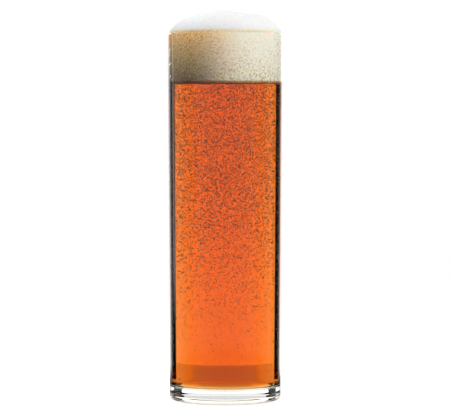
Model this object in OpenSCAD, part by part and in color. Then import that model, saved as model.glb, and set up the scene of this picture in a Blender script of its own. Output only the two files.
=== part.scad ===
// A pint of ale in a tall, almost straight-sided glass: the glass, the ale in it, and
// the head of foam that stands above the lip.
// The origin is the middle of the foot, on the table. +Z is up, and the head is fullest towards +X.

/* [Glass] */
// Height from the table to the top of the lip
glass_h = 209.2; // [160:1:260]
// Outer radius at the lip
rim_r = 33; // [26:0.1:42]
// Outer radius at the table, before the foot's corner is rounded
foot_r = 31.6; // [25:0.1:40]
// Wall thickness at the lip
rim_wall = 1.8; // [1.2:0.1:3]
// Wall thickness at the foot
foot_wall = 2.6; // [1.6:0.1:4]
// Height of the inside floor above the table, at the floor's edge
base_t = 7.6; // [5:0.1:16]
// How much lower the middle of the inside floor is than its edge
floor_dish = 0.6; // [0:0.1:1.5]
// Fillet between the inside floor and the wall
floor_fillet = 3; // [2:0.1:8]
// Radius of the foot's rounded outer corner
corner_r = 2.8; // [1.5:0.1:5]
// Width of the flat ring that the glass stands on
ring_w = 3; // [1.5:0.1:6]
// Depth of the hollow under the foot
punt_d = 2.3; // [0.4:0.1:3]
// Power by which the hollow stays flat on top and drops at its edge
punt_flat = 8; // [2:1:12]

/* [Ale] */
// Depth of the foam inside the glass, from the lip down to the ale
head_d = 27.8; // [8:0.1:60]
// Clearance between the glass and what fills it
fill_gap = 0.1; // [0.05:0.05:0.3]

/* [Foam] */
// Height of the dome above the lip, without its swells
dome_h = 9.8; // [4:0.1:20]
// Power by which the dome falls away towards -X; a higher one stays full further out
fall_left = 4.2; // [2:0.1:6]
// The same towards +X
fall_right = 3; // [2:0.1:6]
// Power that rounds the dome off at its foot
foot_round = 0.77; // [0.5:0.01:1]
// Angle round the lip where the foam ends on the -X side, where it stops short of the top
spill_left = 112; // [90:1:150]
// The same on the +X side, where it spills over
spill_right = 62; // [45:1:90]

/* [Hidden] */

// Soft swells on the dome: place x and y, reach, height
swells = [
  [-2.7, 0, 14, 3],
  [21.8, 2, 11, 2.1],
  [-9, -17, 8, 0.9],
  [7, 19, 9, 1.1],
  [8, -21, 7, 0.7],
];
// A swell fades out towards the dome's foot with this power
swell_fade = 8;

arc_steps = 10;
foam_sides = 72;
lip_steps = 5;
dome_rings = 18;
$fn = 96;

lip_r = rim_wall / 2;
lip_x = rim_r - lip_r;
lip_z = glass_h - lip_r;
ale_z = glass_h - head_d;

// Radii at height z
function outer_r(z) = foot_r + (rim_r - foot_r) * z / glass_h;
function wall(z) = foot_wall + (rim_wall - foot_wall) * z / glass_h;
function bore_r(z) = outer_r(z) - wall(z);

// Points on an arc round c, from angle a0 to a1
function arc(c, r, a0, a1, n = arc_steps) =
  [for (i = [0:n]) let (a = a0 + (a1 - a0) * i / n) c + r * [cos(a), sin(a)]];

// Inside floor and its fillet, from the axis out to the wall, set back by gap
function floor_line(gap) =
  let (
    c = [bore_r(base_t + floor_fillet) - floor_fillet, base_t + floor_fillet],
    dish = [for (i = [0:arc_steps - 1])
      let (s = i / arc_steps) [s * c[0], base_t + gap - floor_dish * (1 - s * s)]]
  )
  concat(dish, arc(c, floor_fillet - gap, -90, 0));

// Underside, from the axis out to the flat ring and round the corner
function under_line() =
  let (
    c = [outer_r(corner_r) - corner_r, corner_r],
    hollow_r = c[0] - ring_w,
    hollow = [for (i = [0:arc_steps])
      let (s = i / arc_steps) [s * hollow_r, punt_d * (1 - pow(s, punt_flat))]]
  )
  concat(hollow, arc(c, corner_r, -90, 0));

function reversed(list) = [for (i = [len(list) - 1:-1:0]) list[i]];

module glass() {
  color([0.86, 0.9, 0.9, 0.4])
    rotate_extrude()
      polygon(concat(
        under_line(),
        arc([lip_x, lip_z], lip_r, 0, 180, 2 * arc_steps),
        reversed(floor_line(0))
      ));
}

module ale() {
  color([0.84, 0.3, 0.06])
    rotate_extrude()
      polygon(concat(
        floor_line(fill_gap),
        [[bore_r(ale_z) - fill_gap, ale_z], [0, ale_z]]
      ));
}

// Where the dome meets the lip, in direction a
function spill(a) = spill_left + (spill_right - spill_left) * (1 + cos(a)) / 2;
function foot_at(a) = [lip_x, lip_z] + (lip_r + fill_gap) * [cos(spill(a)), sin(spill(a))];

function swell_z(p) =
  [for (s = swells) s[3] * exp(-pow(norm(p - [s[0], s[1]]) / s[2], 2))] * [for (s = swells) 1];

// Height of the dome above its foot, at the share u of the foot's radius in direction a
function dome_z(u, a) =
  let (
    p = fall_left + (fall_right - fall_left) * (1 + cos(a)) / 2,
    at = u * foot_at(a)[0] * [cos(a), sin(a)]
  )
  dome_h * pow(1 - pow(u, p), foot_round) + swell_z(at) * (1 - pow(u, swell_fade));

// The foam's outline in direction a, from the ale up past the lip and in over the dome
function foam_line(a) = concat(
  [[bore_r(ale_z) - fill_gap, ale_z]],
  arc([lip_x, lip_z], lip_r + fill_gap, 180, spill(a), lip_steps),
  [for (k = [1:dome_rings - 1])
    let (u = cos(90 * k / dome_rings)) [u * foot_at(a)[0], foot_at(a)[1] + dome_z(u, a)]]
);

module foam_head() {
  turns = [for (j = [0:foam_sides - 1]) 360 * j / foam_sides];
  rings = len(foam_line(0));
  skin = [for (a = turns) for (q = foam_line(a)) [q[0] * cos(a), q[0] * sin(a), q[1]]];
  peak = [0, 0, foot_at(90)[1] + dome_z(0, 90)];
  at = function (j, k) (j % foam_sides) * rings + k;
  last = foam_sides * rings;
  color([0.95, 0.93, 0.88])
    polyhedron(
      points = concat(skin, [peak]),
      faces = concat(
        [[for (j = [0:foam_sides - 1]) at(j, 0)]],
        [for (j = [0:foam_sides - 1]) for (k = [0:rings - 2]) [at(j, k), at(j, k + 1), at(j + 1, k)]],
        [for (j = [0:foam_sides - 1]) for (k = [0:rings - 2]) [at(j + 1, k), at(j, k + 1), at(j + 1, k + 1)]],
        [for (j = [0:foam_sides - 1]) [at(j, rings - 1), last, at(j + 1, rings - 1)]]
      )
    );
}

glass();
ale();
foam_head();
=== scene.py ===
import math
import random

import bmesh
import bpy
from mathutils import Euler, Matrix, Vector, noise


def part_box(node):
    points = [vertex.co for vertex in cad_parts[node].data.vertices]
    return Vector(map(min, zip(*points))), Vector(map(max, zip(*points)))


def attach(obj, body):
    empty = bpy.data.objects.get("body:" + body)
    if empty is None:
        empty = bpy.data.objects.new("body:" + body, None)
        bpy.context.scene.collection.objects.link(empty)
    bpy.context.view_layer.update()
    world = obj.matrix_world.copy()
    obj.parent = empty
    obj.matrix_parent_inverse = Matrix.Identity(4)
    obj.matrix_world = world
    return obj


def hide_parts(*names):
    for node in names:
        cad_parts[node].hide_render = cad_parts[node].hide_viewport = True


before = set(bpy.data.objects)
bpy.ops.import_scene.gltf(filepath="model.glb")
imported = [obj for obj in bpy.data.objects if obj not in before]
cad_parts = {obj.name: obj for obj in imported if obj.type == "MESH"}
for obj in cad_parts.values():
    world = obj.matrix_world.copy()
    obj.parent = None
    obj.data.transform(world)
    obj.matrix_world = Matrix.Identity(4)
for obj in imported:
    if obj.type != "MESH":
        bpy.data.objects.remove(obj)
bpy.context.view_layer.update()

# ---------------------------------------------------------------- the glass
# A tall pint glass, pressed and blown in one piece from clear soda-lime glass. The wall thins a
# little towards the fire-rounded lip, and the thick base stands on a ring round a shallow hollow.

glass_low, glass_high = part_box("glass")
_, ale_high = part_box("ale")
glass_height = glass_high.z
ale_level = ale_high.z
lip_radius = -glass_low.x
foot_radius = 0.0316
lip_wall = 0.0018
foot_wall = 0.0026
base_thickness = 0.0076
floor_dish = 0.0006
floor_fillet = 0.003
foot_corner = 0.0028
foot_ring = 0.003
foot_hollow = 0.0023
hollow_flatness = 8
wall_levels = (0.05, 0.1, 0.15)
sides_of_glass = 192
curve_steps = 12
hollow_steps = 24
lip_steps = 20
# How far the loop that holds each curve's end stands off from it
brace = 0.0003


def outer_radius(z):
    return foot_radius + (lip_radius - foot_radius) * z / glass_height


def bore_radius(z):
    return outer_radius(z) - foot_wall - (lip_wall - foot_wall) * z / glass_height


def arc(x, z, radius, start, end, steps):
    """Points on an arc round (x, z), both ends among them, from one angle in degrees to another."""
    angles = [math.radians(start + (end - start) * i / steps) for i in range(steps + 1)]
    return [(x + radius * math.cos(a), z + radius * math.sin(a)) for a in angles]


def floor_line(set_back):
    """The inside floor and its fillet, from the axis out to the wall, set back by a distance."""
    rise = base_thickness + floor_fillet
    edge = bore_radius(rise) - floor_fillet
    dish = []
    for i in range(curve_steps):
        share = i / curve_steps
        dish.append((edge * share, base_thickness + set_back - floor_dish * (1 - share ** 2)))
    return dish + arc(edge, rise, floor_fillet - set_back, -90, 0, curve_steps)


def turned(name, line, steps):
    """A solid turned round the Z axis from a line of (radius, height) points."""
    shape = bmesh.new()
    points = [shape.verts.new((x, 0, z)) for x, z in line]
    edges = [shape.edges.new(pair) for pair in zip(points, points[1:])]
    bmesh.ops.spin(shape, geom=points + edges, cent=(0, 0, 0), axis=(0, 0, 1), angle=math.tau,
                   steps=steps, use_merge=True)
    bmesh.ops.remove_doubles(shape, verts=shape.verts, dist=1e-6)
    bmesh.ops.recalc_face_normals(shape, faces=shape.faces)
    return finished(name, shape)


def finished(name, shape):
    """A bmesh as a smooth-shaded object at the origin."""
    for face in shape.faces:
        face.smooth = True
    mesh = bpy.data.meshes.new(name)
    shape.to_mesh(mesh)
    shape.free()
    piece = bpy.data.objects.new(name, mesh)
    bpy.context.scene.collection.objects.link(piece)
    return piece


lip_bead = lip_wall / 2
lip_x = lip_radius - lip_bead
lip_z = glass_height - lip_bead
corner_x = outer_radius(foot_corner) - foot_corner
hollow_x = corner_x - foot_ring
glass_line = []
for i in range(hollow_steps):
    share = i / hollow_steps
    glass_line.append((hollow_x * share, foot_hollow * (1 - share ** hollow_flatness)))
glass_line += [(hollow_x, 0), (corner_x - brace, 0)]
glass_line += arc(corner_x, foot_corner, foot_corner, -90, 0, curve_steps)
for level in (foot_corner + brace, *wall_levels, lip_z - brace):
    glass_line.append((outer_radius(level), level))
glass_line += arc(lip_x, lip_z, lip_bead, 0, 180, lip_steps)
for level in (lip_z - brace, ale_level, *wall_levels[::-1], base_thickness + floor_fillet + brace):
    glass_line.append((bore_radius(level), level))
glass_line += floor_line(0)[::-1]

glass = turned("pint_glass", glass_line, sides_of_glass)


def adder(tree):
    """A function that adds a node to a tree, with what it is given set as inputs or as settings."""

    def add(kind, **values):
        node = tree.nodes.new(kind)
        for key, value in values.items():
            if key in node.inputs:
                node.inputs[key].default_value = value
            else:
                setattr(node, key, value)
        return node

    return add


def new_material(name):
    """A material, its emptied node tree, and a function that adds a node to the tree."""
    material = bpy.data.materials.new(name)
    material.use_nodes = True
    tree = material.node_tree
    tree.nodes.clear()
    return material, tree, adder(tree)


def ramp(tree, add, value, low, high, to_low=0.0, to_high=1.0, curve="LINEAR"):
    """An output that runs from one value to another as its input runs from low to high."""
    node = add("ShaderNodeMapRange", interpolation_type=curve)
    for key, number in (("From Min", low), ("From Max", high), ("To Min", to_low), ("To Max", to_high)):
        node.inputs[key].default_value = number
    tree.links.new(value, node.inputs["Value"])
    return node.outputs["Result"]


def blend(tree, add, share, first, second):
    """A colour that goes from one to another with the share; each is three numbers or an output."""
    node = add("ShaderNodeMix", data_type="RGBA")
    colour_a, colour_b, result = node.inputs[6], node.inputs[7], node.outputs[2]
    tree.links.new(share, node.inputs[0])
    for socket, colour in ((colour_a, first), (colour_b, second)):
        if isinstance(colour, tuple):
            socket.default_value = (*colour, 1)
        else:
            tree.links.new(colour, socket)
    return result


def mixed(tree, add, share, first, second):
    """One shader where the share is 0, and another where it is 1."""
    node = add("ShaderNodeMixShader")
    tree.links.new(share, node.inputs[0])
    tree.links.new(first.outputs[0], node.inputs[1])
    tree.links.new(second.outputs[0], node.inputs[2])
    return node


def clear_to_shade(tree, add, body, colour):
    """A shader that shadows, and the light that matt faces gather, pass straight through, tinted."""
    path = add("ShaderNodeLightPath")
    passes = add("ShaderNodeMath", operation="MAXIMUM")
    tree.links.new(path.outputs["Is Shadow Ray"], passes.inputs[0])
    tree.links.new(path.outputs["Is Diffuse Ray"], passes.inputs[1])
    straight = add("ShaderNodeBsdfTransparent", Color=colour)
    return mixed(tree, add, passes.outputs[0], body, straight)


def drawn_and_wiped():
    """A node group with the faint upright draw lines of pressed glass and the marks of a cloth."""
    tree = bpy.data.node_groups.new("drawn_and_wiped_glass", "ShaderNodeTree")
    add = adder(tree)
    tree.interface.new_socket("Draw Lines", in_out="INPUT", socket_type="NodeSocketFloat")
    tree.interface.new_socket("Tint", in_out="OUTPUT", socket_type="NodeSocketColor")
    tree.interface.new_socket("Roughness", in_out="OUTPUT", socket_type="NodeSocketFloat")
    tree.interface.new_socket("Normal", in_out="OUTPUT", socket_type="NodeSocketVector")
    given = add("NodeGroupInput")
    spot = add("ShaderNodeTexCoord")
    stretch = add("ShaderNodeMapping", Scale=(1, 1, 0.12))
    draw = add("ShaderNodeTexNoise", Scale=160, Detail=2, Roughness=0.5)
    tree.links.new(spot.outputs["Object"], stretch.inputs["Vector"])
    tree.links.new(stretch.outputs["Vector"], draw.inputs["Vector"])
    wave = add("ShaderNodeBump", Distance=0.0001)
    tree.links.new(given.outputs["Draw Lines"], wave.inputs["Strength"])
    tree.links.new(draw.outputs["Fac"], wave.inputs["Height"])
    handled = add("ShaderNodeTexNoise", Scale=45, Detail=5, Roughness=0.6)
    tree.links.new(spot.outputs["Object"], handled.inputs["Vector"])
    polish = ramp(tree, add, handled.outputs["Fac"], 0.45, 0.8, 0.0, 0.03)
    tint = blend(tree, add, handled.outputs["Fac"], (0.985, 0.992, 0.99), (0.975, 0.988, 0.984))
    out = add("NodeGroupOutput")
    tree.links.new(tint, out.inputs["Tint"])
    tree.links.new(polish, out.inputs["Roughness"])
    tree.links.new(wave.outputs["Normal"], out.inputs["Normal"])
    return tree


def glass_material(name, surface, gleam, open_above=False):
    """Clear glass. Gleam is how much of its reflection is left: none where the ale wets it.

    Light that comes down out of the ale isn't bent at a floor that is open above."""
    material, tree, add = new_material(name)
    marks = add("ShaderNodeGroup", node_tree=surface)
    marks.inputs["Draw Lines"].default_value = 0.06
    body = add("ShaderNodeBsdfPrincipled", IOR=1.5)
    body.inputs["Specular Tint"].default_value = (gleam, gleam, gleam, 1)
    body.inputs["Transmission Weight"].default_value = 1
    tree.links.new(marks.outputs["Tint"], body.inputs["Base Color"])
    tree.links.new(marks.outputs["Roughness"], body.inputs["Roughness"])
    tree.links.new(marks.outputs["Normal"], body.inputs["Normal"])
    seen = clear_to_shade(tree, add, body, (0.93, 0.94, 0.94, 1))
    if open_above:
        side = add("ShaderNodeNewGeometry")
        unbent = add("ShaderNodeBsdfTransparent", Color=(1, 1, 1, 1))
        seen = mixed(tree, add, side.outputs["Backfacing"], unbent, seen)
    out = add("ShaderNodeOutputMaterial")
    tree.links.new(seen.outputs[0], out.inputs["Surface"])
    return material


surface = drawn_and_wiped()
glass.data.materials.append(glass_material("clear_glass", surface, 1))
glass.data.materials.append(glass_material("wetted_glass", surface, 0))
glass.data.materials.append(glass_material("floor_under_ale", surface, 0, open_above=True))
wetted, wetted_floor = 1, 2
face_slack = 0.0002
for face in glass.data.polygons:
    x, y, z = face.center
    in_bore = math.hypot(x, y) < bore_radius(z) + face_slack and z > base_thickness - floor_dish - face_slack
    if in_bore and z < ale_level:
        face.material_index = wetted_floor if z < base_thickness else wetted
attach(glass, "root")
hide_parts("glass")

# ------------------------------------------------------------------ the ale
# Clear amber ale that fills the glass up to the foam. It wets the wall, so its skin lies just
# inside the glass, and its colour comes from how far light travels through it.

wetting = 0.00015
into_foam = 0.0006
shoulder = 0.0005
inner_loop = 0.03

ale_top = ale_level + into_foam
ale_edge = bore_radius(ale_level)
ale_line = floor_line(-wetting)
for level in (base_thickness + floor_fillet + brace, *wall_levels, ale_level - brace, ale_level):
    ale_line.append((bore_radius(level) + wetting, level))
ale_line += [(ale_edge - shoulder, ale_top), (inner_loop, ale_top), (0, ale_top)]
ale = turned("ale", ale_line, sides_of_glass)

amber, tree, add = new_material("amber_ale")
spot = add("ShaderNodeTexCoord")
swirl = add("ShaderNodeTexNoise", Scale=30, Detail=2, Roughness=0.4)
tree.links.new(spot.outputs["Object"], swirl.inputs["Vector"])
tint = blend(tree, add, swirl.outputs["Fac"], (1.0, 0.99, 0.98), (0.99, 0.97, 0.95))
body = add("ShaderNodeBsdfPrincipled", IOR=1.34, Roughness=0.0)
body.inputs["Transmission Weight"].default_value = 1
body.inputs["Specular Tint"].default_value = (0, 0, 0, 1)
tree.links.new(tint, body.inputs["Base Color"])
skin = clear_to_shade(tree, add, body, (0.97, 0.97, 0.97, 1))
# The floor of the ale is open, so that light goes straight on into the glass that it wets
heights = add("ShaderNodeSeparateXYZ")
tree.links.new(spot.outputs["Object"], heights.inputs[0])
on_floor = add("ShaderNodeMath", operation="LESS_THAN")
on_floor.inputs[1].default_value = base_thickness - wetting / 2
tree.links.new(heights.outputs["Z"], on_floor.inputs[0])
open_floor = add("ShaderNodeBsdfTransparent", Color=(1, 1, 1, 1))
skin = mixed(tree, add, on_floor.outputs[0], skin, open_floor)
depth = add("ShaderNodeVolumeAbsorption", Color=(0.89, 0.58, 0.0, 1), Density=112)
out = add("ShaderNodeOutputMaterial")
tree.links.new(skin.outputs[0], out.inputs["Surface"])
tree.links.new(depth.outputs[0], out.inputs["Volume"])
ale.data.materials.append(amber)
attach(ale, "root")
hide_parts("ale")

# ------------------------------------------------------------- the bubbles
# Fine bubbles of gas that rise through the ale. They start low in the glass, grow in number
# towards the foam, and are thickest just under it.


def smooth(share):
    """From 0 to 1 along an S-shaped curve."""
    share = min(1, max(0, share))
    return share * share * (3 - 2 * share)


mostly_small = 2.2
clear_of_foam = 0.0005
clear_of_wall = 0.0003
batch = 20


def rising_bubbles(name, count, smallest, largest, lowest, crowded, spread, seed):
    """Bubbles at random places in the ale, from none at the lowest height to thickest where crowded.

    A spread under 0.5 brings more of them out to the wall. They are made in small batches, which is
    far quicker than one by one in a mesh that grows."""
    chance = random.Random(seed)
    whole = bmesh.new()
    for start in range(0, count, batch):
        few = bmesh.new()
        for _ in range(min(batch, count - start)):
            radius = smallest + (largest - smallest) * chance.random() ** mostly_small
            top = ale_level - clear_of_foam - radius
            z = lowest
            while chance.random() >= smooth((z - lowest) / (crowded - lowest)):
                z = chance.uniform(lowest, top)
            reach = bore_radius(z) - clear_of_wall - radius
            angle = chance.uniform(0, math.tau)
            r = reach * chance.random() ** spread
            place = Matrix.Translation((r * math.cos(angle), r * math.sin(angle), z))
            turn = Euler([chance.uniform(0, 6) for _ in range(3)]).to_matrix().to_4x4()
            bmesh.ops.create_icosphere(few, subdivisions=1, radius=radius, matrix=place @ turn)
        mesh = bpy.data.meshes.new("few")
        few.to_mesh(mesh)
        few.free()
        whole.from_mesh(mesh)
        bpy.data.meshes.remove(mesh)
    return finished(name, whole)


gas, tree, add = new_material("bubble_gas")
spot = add("ShaderNodeTexCoord")
mottle = add("ShaderNodeTexNoise", Scale=900, Detail=1, Roughness=0.5)
tree.links.new(spot.outputs["Object"], mottle.inputs["Vector"])
# Painted shade: gas has no colour; this dark matt share stands in for the dark look that bent light gives
# bubbles
tint = blend(tree, add, mottle.outputs["Fac"], (0.05, 0.055, 0.065), (0.6, 0.6, 0.6))
body = add("ShaderNodeBsdfPrincipled", IOR=1.33, Roughness=0.0)
body.inputs["Transmission Weight"].default_value = 0.6
tree.links.new(tint, body.inputs["Base Color"])
out = add("ShaderNodeOutputMaterial")
tree.links.new(body.outputs[0], out.inputs["Surface"])

for name, count, smallest, largest, lowest, crowded, spread, seed in (
    ("fine_bubbles", 9300, 0.00014, 0.00028, 0.012, 0.15, 0.5, 11),
    ("rising_bubbles", 8700, 0.00014, 0.00031, 0.008, 0.15, 0.42, 12),
    ("bubbles_under_foam", 9900, 0.00014, 0.00028, 0.04, 0.15, 0.42, 13),
):
    bubbles = rising_bubbles(name, count, smallest, largest, lowest, crowded, spread, seed)
    bubbles.data.materials.append(gas)
    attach(bubbles, "root")

# ----------------------------------------------------------- the foam head
# A thick cream head of very fine froth. It fills the glass from the ale to the lip, bulges over
# it in an uneven dome, and presses against the inside of the glass as a layer of small cells.

dome_height = 0.0098
fall_left = 4.2
fall_right = 3.0
foot_round = 0.77
spill_left = 112
spill_right = 62
swells = (
    (-0.0027, 0.0, 0.014, 0.003),
    (0.0218, 0.002, 0.011, 0.0021),
    (-0.009, -0.017, 0.008, 0.0009),
    (0.007, 0.019, 0.009, 0.0011),
    (0.008, -0.021, 0.007, 0.0007),
)
swell_fade = 8
ale_swells = 190
deepest_sag = 0.0014
rim_sag = 0.0003
cell_scale = 1150
lump_scale = 260
sides_of_foam = 480
under_rings = 22
side_rings = 64
lip_rings = 12
dome_rings = 62
relief_rings = 8
dome_set_back = 0.00009
dome_cells = 0.00006
dome_lumps = 0.00012
wall_cells = 0.00012
under_cells = 0.0001
press = 0.00005


def lean(angle, left, right):
    """A value that goes from one on the left to another on the right of the head."""
    return left + (right - left) * (1 + math.cos(angle)) / 2


def dome_foot(angle):
    """The radius and height at which the dome leaves the lip."""
    spill = math.radians(lean(angle, spill_left, spill_right))
    return lip_x + (lip_bead + press) * math.cos(spill), lip_z + (lip_bead + press) * math.sin(spill)


def dome_rise(share, angle, x, y):
    """How far the dome stands above its foot, at a share of the way out to it."""
    rise = dome_height * max(0, 1 - share ** lean(angle, fall_left, fall_right)) ** foot_round
    for sx, sy, reach, height in swells:
        swell = height * math.exp(-((x - sx) ** 2 + (y - sy) ** 2) / reach ** 2)
        rise += swell * (1 - share ** swell_fade)
    return rise


def foam_skin(ring, angle):
    """A point's radius and height, by its ring: out along the underside, up, and in over the dome."""
    wall_foot = bore_radius(ale_level) + press
    if ring < under_rings:
        share = ring / under_rings
        x = share * wall_foot
        px, py = x * math.cos(angle), x * math.sin(angle)
        sag = deepest_sag / 2 * (1 + noise.noise(Vector((px, py, 0.0)) * ale_swells)) * (1 - share ** 6)
        return x, ale_level - sag - rim_sag * (1 - share ** 12)
    ring -= under_rings
    if ring < side_rings:
        z = ale_level + (lip_z - ale_level) * ring / side_rings
        return bore_radius(z) + press, z
    ring -= side_rings
    if ring < lip_rings:
        end = lean(angle, spill_left, spill_right)
        a = math.radians(180 + (end - 180) * ring / lip_rings)
        return lip_x + (lip_bead + press) * math.cos(a), lip_z + (lip_bead + press) * math.sin(a)
    ring -= lip_rings
    foot_x, foot_z = dome_foot(angle)
    share = math.cos(math.radians(90 * ring / dome_rings))
    x = share * foot_x
    if ring == dome_rings:
        x = share = 0
    return x, foot_z + dome_rise(share, angle, x * math.cos(angle), x * math.sin(angle))


all_rings = under_rings + side_rings + lip_rings + dome_rings
shape = bmesh.new()
points = [shape.verts.new((1, 0, k)) for k in range(all_rings + 1)]
edges = [shape.edges.new(pair) for pair in zip(points, points[1:])]
bmesh.ops.spin(shape, geom=points + edges, cent=(0, 0, 0), axis=(0, 0, 1), angle=math.tau,
               steps=sides_of_foam, use_merge=True)
ring_of = {}
for vert in shape.verts:
    angle = math.atan2(vert.co.y, vert.co.x)
    ring = round(vert.co.z)
    x, z = foam_skin(ring, angle)
    vert.co = (x * math.cos(angle), x * math.sin(angle), z)
    ring_of[vert] = ring
bmesh.ops.remove_doubles(shape, verts=shape.verts, dist=1e-6)
bmesh.ops.recalc_face_normals(shape, faces=shape.faces)
shape.normal_update()
in_glass = under_rings + side_rings + lip_rings
# The cells and lumps only ever push the skin inwards where it meets the glass
moves = {}
for vert in shape.verts:
    ring = ring_of[vert]
    cell = noise.noise(vert.co * cell_scale)
    lump = noise.noise(vert.co * lump_scale)
    if ring > in_glass:
        fade = min(1, (ring - in_glass) / relief_rings)
        moves[vert] = -(dome_set_back + dome_cells * cell + dome_lumps * (lump + 0.5)) * fade
    elif ring > under_rings:
        moves[vert] = -wall_cells * max(0, cell + 0.1)
    else:
        moves[vert] = -under_cells * cell
for vert, move in moves.items():
    vert.co += vert.normal * move
foam = finished("foam_head_skin", shape)

froth, tree, add = new_material("cream_froth")
spot = add("ShaderNodeTexCoord")
place = add("ShaderNodeSeparateXYZ")
tree.links.new(spot.outputs["Object"], place.inputs[0])
cells = add("ShaderNodeTexVoronoi", feature="F1", Scale=1250)
tree.links.new(spot.outputs["Object"], cells.inputs["Vector"])
grain = add("ShaderNodeTexNoise", Scale=1250, Detail=2, Roughness=0.6)
tree.links.new(spot.outputs["Object"], grain.inputs["Vector"])
stain = ramp(tree, add, grain.outputs["Fac"], 0.405, 0.485)
# The froth is wetter the lower it stands; painted shade browns its left side, darker towards the bottom
drained_and_top_lit = ramp(tree, add, place.outputs["Z"], ale_level, glass_height, 0.1, 1.0)
painted_shade_left = ramp(tree, add, place.outputs["X"], 0.013, -0.02, curve="SMOOTHSTEP")
left_shade_share = add("ShaderNodeMath", operation="MULTIPLY")
left_shade_share.inputs[1].default_value = 0.93
tree.links.new(painted_shade_left, left_shade_share.inputs[0])
# Against the glass: pale beads of froth with a film of ale between them, under painted brown shade on the
# left
film = blend(tree, add, drained_and_top_lit, (0.56, 0.28, 0.05), (0.97, 0.9, 0.76))
bead = blend(tree, add, drained_and_top_lit, (1.0, 0.9, 0.71), (1.0, 0.965, 0.885))
wet = blend(tree, add, stain, film, bead)
# Painted shade: the brown of the unlit left side, made darker towards the bottom as if lit only from above
painted_shade_brown = blend(tree, add, stain, (0.6, 0.32, 0.06), (0.98, 0.7, 0.28))
shaded = add("ShaderNodeVectorMath", operation="SCALE")
tree.links.new(painted_shade_brown, shaded.inputs[0])
tree.links.new(drained_and_top_lit, shaded.inputs["Scale"])
brown = blend(tree, add, left_shade_share.outputs[0], wet, shaded.outputs[0])
# Above the lip: drier and whiter, over a thin ring where ale has dried on at the lip
dry = blend(tree, add, stain, (0.68, 0.69, 0.705), (0.755, 0.77, 0.79))
up = ramp(tree, add, place.outputs["Z"], glass_height - 0.0008, glass_height + 0.0012, curve="SMOOTHSTEP")
cream = blend(tree, add, up, brown, dry)
at_lip = add("ShaderNodeMath", operation="COMPARE")
at_lip.inputs[1].default_value = glass_height - 0.0001
at_lip.inputs[2].default_value = 0.0009
tree.links.new(place.outputs["Z"], at_lip.inputs[0])
dried = add("ShaderNodeMath", operation="MULTIPLY")
dried.inputs[1].default_value = 0.5
tree.links.new(at_lip.outputs[0], dried.inputs[0])
ringed = blend(tree, add, dried.outputs[0], cream, (0.74, 0.54, 0.24))
pits = add("ShaderNodeBump", Strength=0.35, Distance=0.0002)
tree.links.new(cells.outputs["Distance"], pits.inputs["Height"])
body = add("ShaderNodeBsdfPrincipled", Roughness=0.75, IOR=1.34)
body.inputs["Subsurface Weight"].default_value = 0.85
body.inputs["Subsurface Radius"].default_value = (1.0, 0.55, 0.28)
body.inputs["Subsurface Scale"].default_value = 0.03
body.inputs["Specular IOR Level"].default_value = 0.3
tree.links.new(ringed, body.inputs["Base Color"])
tree.links.new(pits.outputs["Normal"], body.inputs["Normal"])
out = add("ShaderNodeOutputMaterial")
tree.links.new(body.outputs[0], out.inputs["Surface"])
foam.data.materials.append(froth)
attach(foam, "root")
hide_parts("foam_head")

# --------------------------------------------------------- floor and lights
# A plain white floor that fades into a white surround, with soft light from above and from both
# sides. Dark cards that only show through the glass and in its reflections draw its edges.

paper, tree, add = new_material("white_floor")
spot = add("ShaderNodeTexCoord")
away = add("ShaderNodeVectorMath", operation="LENGTH")
tree.links.new(spot.outputs["Object"], away.inputs[0])
path = add("ShaderNodeLightPath")


def step(value, start, end):
    """0 below one value of an output and 1 above another, with a smooth rise between them."""
    return ramp(tree, add, value, start, end, curve="SMOOTHSTEP")


def maths(operation, *values):
    """A Math node on numbers or outputs in the tree at hand, and its output."""
    node = tree.nodes.new("ShaderNodeMath")
    node.operation = operation
    for socket, value in zip(node.inputs, values):
        if isinstance(value, (int, float)):
            socket.default_value = value
        else:
            tree.links.new(value, socket)
    return node.outputs[0]


through_glass = path.outputs["Is Transmission Ray"]
mirrored = maths("MAXIMUM", maths("SUBTRACT", path.outputs["Is Glossy Ray"], through_glass), 0)
place = add("ShaderNodeSeparateXYZ")
tree.links.new(spot.outputs["Object"], place.inputs[0])

foot_edge = 0.031
foot_side = 0.0065
flag_start = (35, 37)
flag_end = (57, 62)


def sector(across, along):
    """A place's bearing from where light leaves the foot, and 1 where a flag covers the floor."""
    beside = maths("ADD", maths("ABSOLUTE", across), foot_side)
    angle = maths("DEGREES", maths("ARCTAN2", beside, maths("SUBTRACT", along, foot_edge)))
    flag = maths("MULTIPLY", step(angle, *flag_start), maths("SUBTRACT", 1, step(angle, *flag_end)))
    return angle, flag


bearing, flag_behind = sector(place.outputs["X"], place.outputs["Y"])
flag_beside = sector(place.outputs["Y"], maths("ABSOLUTE", place.outputs["X"]))[1]
flagged = maths("MULTIPLY", maths("MAXIMUM", flag_behind, flag_beside), through_glass)
# How far out the floor fades away: for the eye, for light through the glass and for reflections
fade = step(away.outputs["Value"], 0.45, 0.95)
fade = maths("MAXIMUM", fade, maths("MULTIPLY", through_glass, step(away.outputs["Value"], 0.19, 0.206)))
fade = maths("MAXIMUM", fade, maths("MULTIPLY", mirrored, step(away.outputs["Value"], 0.035, 0.06)))
fade = maths("MAXIMUM", fade, flagged)
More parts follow.
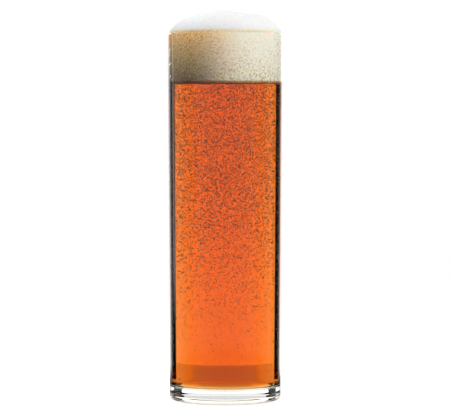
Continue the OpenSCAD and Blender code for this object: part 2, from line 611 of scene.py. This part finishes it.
# How bright the floor glows: for the eye, and through the glass, with a painted shadow that dims it behind
# the glass
eye_glow = 0.75
painted_shadow_glow = 0.69
more_beside = 0.37
seen = maths("MULTIPLY_ADD", step(bearing, 15, 19), more_beside, painted_shadow_glow)
glow_level = maths("MULTIPLY", path.outputs["Is Camera Ray"], eye_glow)
glow_level = maths("ADD", glow_level, maths("MULTIPLY", through_glass, seen))
matt = add("ShaderNodeBsdfDiffuse", Color=(0.4, 0.4, 0.4, 1))
glow = add("ShaderNodeEmission", Color=(1, 1, 1, 1))
tree.links.new(glow_level, glow.inputs["Strength"])
lit = add("ShaderNodeAddShader")
tree.links.new(matt.outputs[0], lit.inputs[0])
tree.links.new(glow.outputs[0], lit.inputs[1])
gone = add("ShaderNodeBsdfTransparent")
shown = mixed(tree, add, fade, lit, gone)
out = add("ShaderNodeOutputMaterial")
tree.links.new(shown.outputs[0], out.inputs["Surface"])

floor_radius = 1.0
below_foot = 0.0003
shape = bmesh.new()
bmesh.ops.create_circle(shape, cap_ends=True, segments=96, radius=floor_radius)
bmesh.ops.translate(shape, verts=shape.verts, vec=(0, 0, -below_foot))
floor = finished("floor", shape)
floor.data.materials.append(paper)


def soft_light(name, place, target, width, height, watts, colour):
    """A rectangular light that the eye doesn't see, not even through the glass."""
    lamp = bpy.data.lights.new(name, "AREA")
    lamp.shape = "RECTANGLE"
    lamp.size = width
    lamp.size_y = height
    lamp.energy = watts
    lamp.color = colour
    light = bpy.data.objects.new(name, lamp)
    light.location = place
    light.rotation_euler = (Vector(target) - Vector(place)).to_track_quat("-Z", "Y").to_euler()
    light.visible_camera = False
    light.visible_transmission = False
    bpy.context.scene.collection.objects.link(light)
    return light


soft_light("top_light", (0, 0.1, 1.25), (0, 0, 0.2), 0.9, 0.9, 8.6, (1, 1, 1))
key = soft_light("right_light", (0.58, -0.27, 0.055), (0, 0, 0.19), 0.36, 0.1, 2.6, (1, 0.99, 0.97))
key.visible_glossy = False
fill = soft_light("left_light", (-0.45, -0.45, 0.42), (0, 0, 0.2), 0.4, 0.4, 1.3, (1, 0.99, 0.96))
fill.visible_glossy = False

world = bpy.data.worlds.new("surround")
bpy.context.scene.world = world
world.use_nodes = True
tree = world.node_tree
tree.nodes.clear()


def between(value, low, high, soft):
    """1 where an output lies between two values, falling to 0 over a soft edge outside them."""
    up = maths("MULTIPLY_ADD", value, 1 / soft, -low / soft + 1)
    down = maths("MULTIPLY_ADD", value, -1 / soft, high / soft + 1)
    return maths("MINIMUM", maths("MAXIMUM", maths("MINIMUM", up, down), 0), 1)


def less(value, where, share):
    """An output that loses a share of itself where another is 1, and nothing where it is 0."""
    return maths("MULTIPLY", value, maths("MULTIPLY_ADD", where, -share, 1))


# Turn is 0 straight behind the glass and grows to the right, and tilt is 0 at the horizon
direction = tree.nodes.new("ShaderNodeTexCoord")
parts = tree.nodes.new("ShaderNodeSeparateXYZ")
tree.links.new(direction.outputs["Generated"], parts.inputs[0])
turn = maths("DEGREES", maths("ARCTAN2", parts.outputs["X"], parts.outputs["Y"]))
tilt = maths("DEGREES", maths("ARCSINE", parts.outputs["Z"]))
all_round = maths("ABSOLUTE", turn)
side_on = maths("MINIMUM", all_round, maths("SUBTRACT", 180, all_round))
behind_glass = between(turn, -80, 80, 1)

# The dark cards: tall ones behind the glass, low ones in front of it, and one more on the right.
# Near the horizon their inner edge lies a little further out.
card_level = maths("MULTIPLY", behind_glass, between(tilt, -12, 28, 1.5))
card_level = maths("MAXIMUM", card_level, between(tilt, -8.2, 9, 0.6))
off_level = maths("SUBTRACT", 1, between(tilt, -6.4, 5.5, 0.4))
inner_edge = maths("MULTIPLY_ADD", off_level, -3.3, 39.3)
card = between(maths("SUBTRACT", side_on, inner_edge), 0, 100, 1.0)
card = maths("MULTIPLY", card, between(side_on, 0, 56, 1.0))
right_card = between(turn, 50, 66, 1.5)
dark = maths("MULTIPLY", maths("MAXIMUM", card, right_card), card_level)

# What is seen through the glass: brightest near the horizon, and dimmer above and below it
level_light = 2.0
above = between(tilt, 5.5, 200, 0.5)
below = between(tilt, -100, -9, 1)
high_up = between(tilt, 32, 100, 6)
near_level = maths("MAXIMUM", maths("MINIMUM", tilt, 4), -8)
through = maths("MULTIPLY_ADD", above, -1.22, level_light)
through = maths("ADD", through, maths("MULTIPLY_ADD", near_level, -0.006, -0.02))
through = maths("ADD", through, maths("MULTIPLY", below, -0.6))
through = maths("ADD", through, maths("MULTIPLY", high_up, -0.4))
through = maths("MAXIMUM", less(through, dark, 1), 0)

# What is seen mirrored in the glass: a bright panel straight behind it, a strip on the left, a
# thin one on the right, and a weak light from the front
ahead = between(turn, -29, 29, 2.5)
mirror_light = maths("MULTIPLY_ADD", ahead, 1.1, 0.35)
hidden = maths("MULTIPLY", dark, between(turn, -80, 80, 2))
mirror_light = less(mirror_light, hidden, 0.92)
strip = maths("MULTIPLY", between(turn, -53.5, -48, 1.2), between(tilt, -4, 60, 1.5))
mirror_light = maths("ADD", mirror_light, maths("MULTIPLY", strip, 1.15))
far_strip = between(turn, 57, 59, 0.7)
mirror_light = maths("ADD", mirror_light, maths("MULTIPLY", far_strip, 0.4))
low_down = between(tilt, -90, -6.7, 0.3)
mirror_light = less(mirror_light, low_down, 0.85)
front = between(all_round, 125, 181, 20)
mirror_light = maths("ADD", mirror_light, maths("MULTIPLY", front, 0.34))

# The eye sees plain white, matt faces gather the ambient light, and the glass shows the rest
path = tree.nodes.new("ShaderNodeLightPath")
unlit_path = maths("LESS_THAN", path.outputs["Diffuse Depth"], 0.5)
through_glass = path.outputs["Is Transmission Ray"]
mirrored = maths("MAXIMUM", maths("SUBTRACT", path.outputs["Is Glossy Ray"], through_glass), 0)
ambient = maths("MULTIPLY_ADD", between(tilt, 45, 100, 12), 0.5, 0.16)
strength = ambient
for seen_by, light in (
    (path.outputs["Is Camera Ray"], 1),
    (maths("MULTIPLY", through_glass, unlit_path), through),
    (maths("MULTIPLY", mirrored, unlit_path), mirror_light),
):
    strength = maths("ADD", strength, maths("MULTIPLY", seen_by, maths("SUBTRACT", light, ambient)))
sky = tree.nodes.new("ShaderNodeBackground")
sky.inputs["Color"].default_value = (1, 1, 1, 1)
tree.links.new(strength, sky.inputs["Strength"])
out = tree.nodes.new("ShaderNodeOutputWorld")
tree.links.new(sky.outputs[0], out.inputs["Surface"])

# --------------------------------------------------------------- the camera
# It stands well back with a long lens, a little above the middle of the glass, and looks down on
# it by two degrees.

look_down = 2.0
camera = bpy.data.cameras.new("camera")
camera.sensor_width = 36
camera.lens = 171.4
camera.clip_start = 0.05
view = bpy.data.objects.new("camera", camera)
view.location = (-0.0001, -1.223, 0.1532)
view.rotation_euler = (math.radians(90 - look_down), 0, 0)
bpy.context.scene.collection.objects.link(view)
bpy.context.scene.camera = view

scene = bpy.context.scene
scene.view_settings.view_transform = "Standard"
scene.cycles.max_bounces = 32
scene.cycles.transmission_bounces = 32
scene.cycles.glossy_bounces = 12
scene.cycles.transparent_max_bounces = 32
